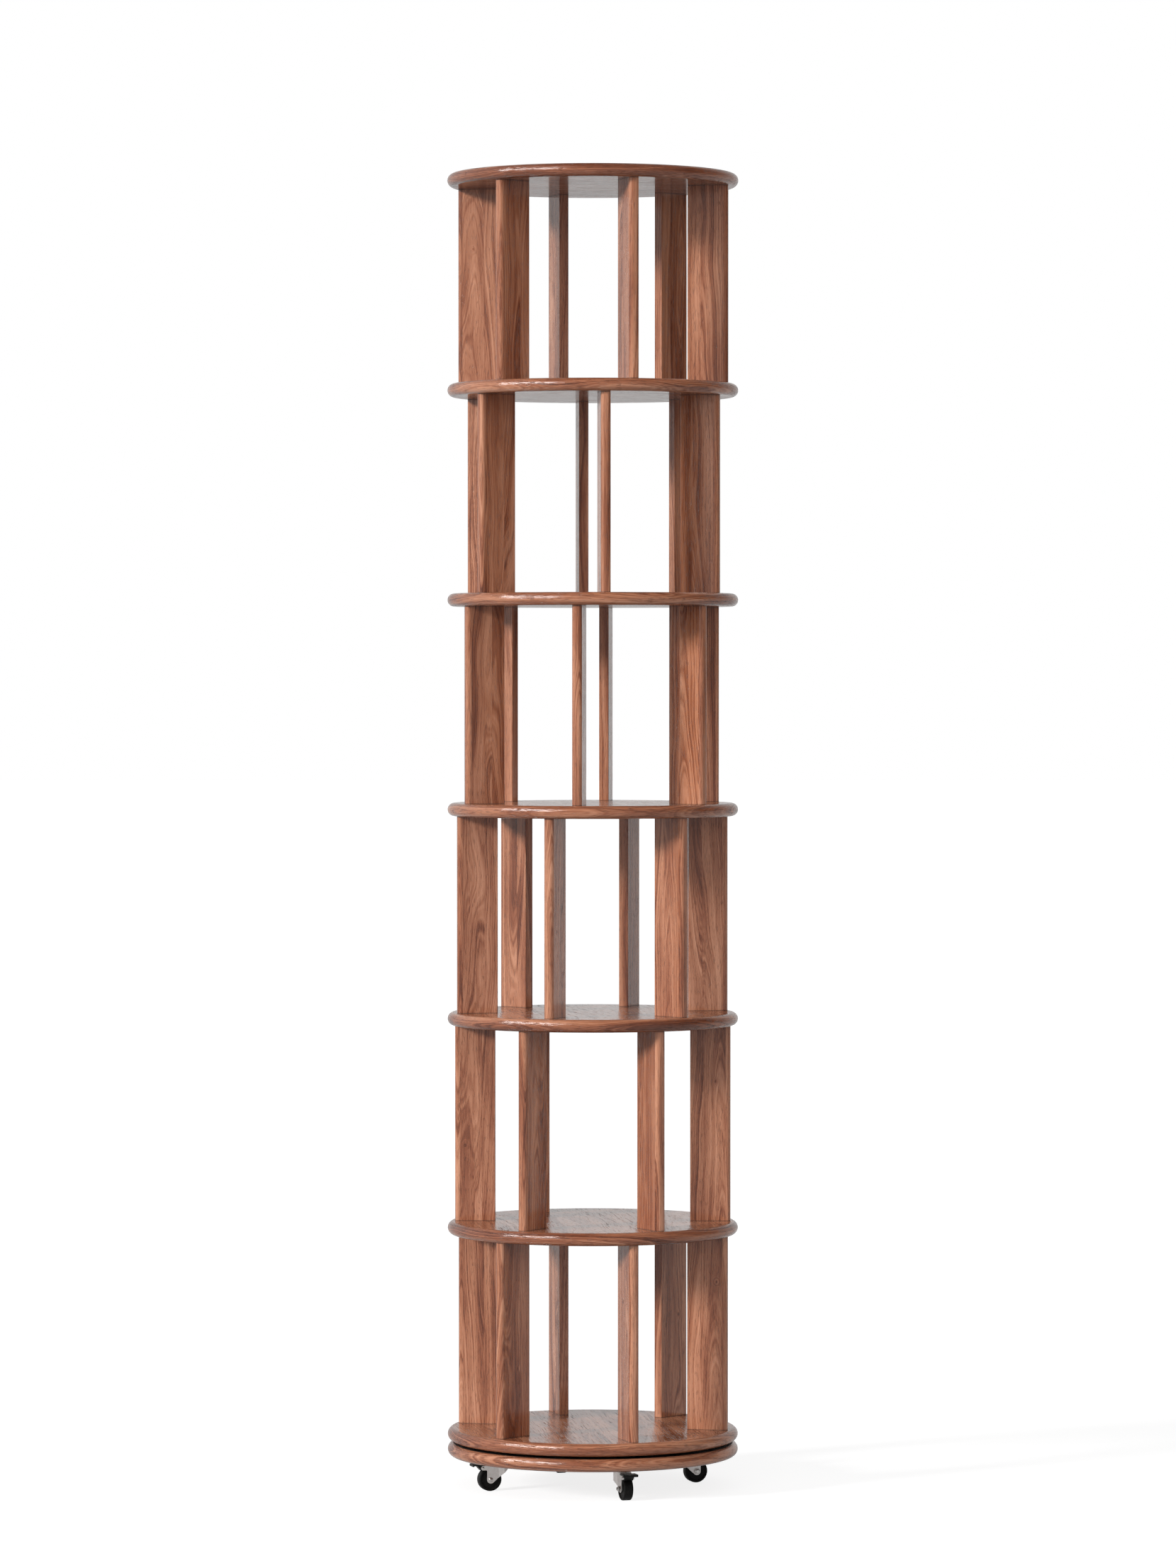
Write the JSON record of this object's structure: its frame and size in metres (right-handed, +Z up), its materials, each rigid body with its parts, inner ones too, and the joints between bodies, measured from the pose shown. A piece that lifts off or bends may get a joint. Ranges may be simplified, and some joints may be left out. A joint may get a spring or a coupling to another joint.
{
  "type": "revolving bookcase",
  "caption": "Tall round bookcase of wood: open tiers of radial uprights between discs, turning on a ring bearing over a base disc with braked swivel casters.",
  "frame": {"origin": "on the floor, under the tower's axis", "axes": "+Z up along the tower's axis; the uprights of the fifth tier point along +X and every 60 degrees from it; the picture's camera looks along +Y"},
  "size_m": [0.45, 0.4498, 2.0335],
  "materials": {
    "shelf_wood": "red-brown walnut, satin lacquer",
    "upright_wood": "red-brown walnut, satin lacquer",
    "base_wood": "red-brown walnut, satin lacquer",
    "dowel_beech": "plain beech",
    "screw_steel": "zinc plated",
    "bearing_alloy": "turned, satin",
    "bearing_steel": "polished",
    "cage_nylon": "natural nylon",
    "caster_zinc": "bright zinc plate",
    "caster_bolt": "bright zinc plate",
    "wheel_rubber": "black, matt tread",
    "brake_plastic": "black, moulded"
  },
  "bodies": {
    "base": {"base_disc": "base_wood", "turntable_outer_ring": "bearing_alloy", "turntable_base_screws": "screw_steel", "caster_plate_1": "caster_zinc", "caster_plate_2": "caster_zinc", "caster_plate_3": "caster_zinc", "caster_plate_4": "caster_zinc", "caster_kingpins": "caster_bolt", "caster_plate_screws": "screw_steel"},
    "tower": {"top_shelf": "shelf_wood", "shelf_2": "shelf_wood", "shelf_3": "shelf_wood", "shelf_4": "shelf_wood", "shelf_5": "shelf_wood", "shelf_6": "shelf_wood", "bottom_shelf": "shelf_wood", "tier_1_uprights_a": "upright_wood", "tier_1_uprights_b": "upright_wood", "tier_1_uprights_c": "upright_wood", "tier_2_uprights_a": "upright_wood", "tier_2_uprights_b": "upright_wood", "tier_2_uprights_c": "upright_wood", "tier_3_uprights_a": "upright_wood", "tier_3_uprights_b": "upright_wood", "tier_3_uprights_c": "upright_wood", "tier_4_uprights_a": "upright_wood", "tier_4_uprights_b": "upright_wood", "tier_4_uprights_c": "upright_wood", "tier_5_uprights_a": "upright_wood", "tier_5_uprights_b": "upright_wood", "tier_5_uprights_c": "upright_wood", "tier_6_uprights_a": "upright_wood", "tier_6_uprights_b": "upright_wood", "tier_6_uprights_c": "upright_wood", "upright_dowels": "dowel_beech", "upright_screws": "screw_steel", "turntable_inner_ring": "bearing_alloy", "turntable_shelf_screws": "screw_steel"},
    "ball_cage": {"turntable_ball_cage": "cage_nylon", "turntable_balls": "bearing_steel"},
    "swivel_balls_1": {"caster_balls_1": "bearing_steel"},
    "fork_1": {"caster_fork_1": "caster_zinc", "caster_pins_1": "caster_bolt"},
    "wheel_1": {"caster_wheel_1": "wheel_rubber"},
    "brake_1": {"caster_brake_1": "brake_plastic"},
    "swivel_balls_2": {"caster_balls_2": "bearing_steel"},
    "fork_2": {"caster_fork_2": "caster_zinc", "caster_pins_2": "caster_bolt"},
    "wheel_2": {"caster_wheel_2": "wheel_rubber"},
    "brake_2": {"caster_brake_2": "brake_plastic"},
    "swivel_balls_3": {"caster_balls_3": "bearing_steel"},
    "fork_3": {"caster_fork_3": "caster_zinc", "caster_pins_3": "caster_bolt"},
    "wheel_3": {"caster_wheel_3": "wheel_rubber"},
    "brake_3": {"caster_brake_3": "brake_plastic"},
    "swivel_balls_4": {"caster_balls_4": "bearing_steel"},
    "fork_4": {"caster_fork_4": "caster_zinc", "caster_pins_4": "caster_bolt"},
    "wheel_4": {"caster_wheel_4": "wheel_rubber"},
    "brake_4": {"caster_brake_4": "brake_plastic"}
  },
  "joints": [
    {"name": "tower_spin", "type": "hinge", "parent": "base", "child": "tower", "pos_m": [0, 0, 0.0715], "axis": [0, 0, 1], "continuous": true},
    {"name": "ball_cage_roll", "type": "hinge", "parent": "base", "child": "ball_cage", "pos_m": [0, 0, 0.0715], "axis": [0, 0, 1], "continuous": true},
    {"name": "caster_1_swivel", "type": "hinge", "parent": "base", "child": "fork_1", "pos_m": [0.14266, 0.04635, 0.043], "axis": [0, 0, 1], "continuous": true},
    {"name": "caster_1_balls_roll", "type": "hinge", "parent": "base", "child": "swivel_balls_1", "pos_m": [0.14266, 0.04635, 0.043], "axis": [0, 0, 1], "continuous": true},
    {"name": "caster_1_wheel_spin", "type": "hinge", "parent": "fork_1", "child": "wheel_1", "pos_m": [0.1593, 0.05176, 0.018], "axis": [-0.309, 0.9511, 0], "continuous": true},
    {"name": "caster_1_brake_press", "type": "hinge", "parent": "fork_1", "child": "brake_1", "pos_m": [0.1711, 0.05559, 0.0361], "axis": [-0.309, 0.9511, 0], "range_deg": [0, 20]},
    {"name": "caster_2_swivel", "type": "hinge", "parent": "base", "child": "fork_2", "pos_m": [-0.04635, 0.14266, 0.043], "axis": [0, 0, 1], "continuous": true},
    {"name": "caster_2_balls_roll", "type": "hinge", "parent": "base", "child": "swivel_balls_2", "pos_m": [-0.04635, 0.14266, 0.043], "axis": [0, 0, 1], "continuous": true},
    {"name": "caster_2_wheel_spin", "type": "hinge", "parent": "fork_2", "child": "wheel_2", "pos_m": [-0.05176, 0.1593, 0.018], "axis": [-0.9511, -0.309, 0], "continuous": true},
    {"name": "caster_2_brake_press", "type": "hinge", "parent": "fork_2", "child": "brake_2", "pos_m": [-0.05559, 0.1711, 0.0361], "axis": [-0.9511, -0.309, 0], "range_deg": [0, 20]},
    {"name": "caster_3_swivel", "type": "hinge", "parent": "base", "child": "fork_3", "pos_m": [-0.14266, -0.04635, 0.043], "axis": [0, 0, 1], "continuous": true},
    {"name": "caster_3_balls_roll", "type": "hinge", "parent": "base", "child": "swivel_balls_3", "pos_m": [-0.14266, -0.04635, 0.043], "axis": [0, 0, 1], "continuous": true},
    {"name": "caster_3_wheel_spin", "type": "hinge", "parent": "fork_3", "child": "wheel_3", "pos_m": [-0.1593, -0.05176, 0.018], "axis": [0.309, -0.9511, 0], "continuous": true},
    {"name": "caster_3_brake_press", "type": "hinge", "parent": "fork_3", "child": "brake_3", "pos_m": [-0.1711, -0.05559, 0.0361], "axis": [0.309, -0.9511, 0], "range_deg": [0, 20]},
    {"name": "caster_4_swivel", "type": "hinge", "parent": "base", "child": "fork_4", "pos_m": [0.04635, -0.14266, 0.043], "axis": [0, 0, 1], "continuous": true},
    {"name": "caster_4_balls_roll", "type": "hinge", "parent": "base", "child": "swivel_balls_4", "pos_m": [0.04635, -0.14266, 0.043], "axis": [0, 0, 1], "continuous": true},
    {"name": "caster_4_wheel_spin", "type": "hinge", "parent": "fork_4", "child": "wheel_4", "pos_m": [0.05176, -0.1593, 0.018], "axis": [0.9511, 0.309, 0], "continuous": true},
    {"name": "caster_4_brake_press", "type": "hinge", "parent": "fork_4", "child": "brake_4", "pos_m": [0.05559, -0.1711, 0.0361], "axis": [0.9511, 0.309, 0], "range_deg": [0, 20]}
  ],
  "couplings": [
    {"joint": "ball_cage_roll", "follows": "tower_spin", "ratio": 0.5},
    {"joint": "caster_1_balls_roll", "follows": "caster_1_swivel", "ratio": 0.5},
    {"joint": "caster_2_balls_roll", "follows": "caster_2_swivel", "ratio": 0.5},
    {"joint": "caster_3_balls_roll", "follows": "caster_3_swivel", "ratio": 0.5},
    {"joint": "caster_4_balls_roll", "follows": "caster_4_swivel", "ratio": 0.5}
  ]
}
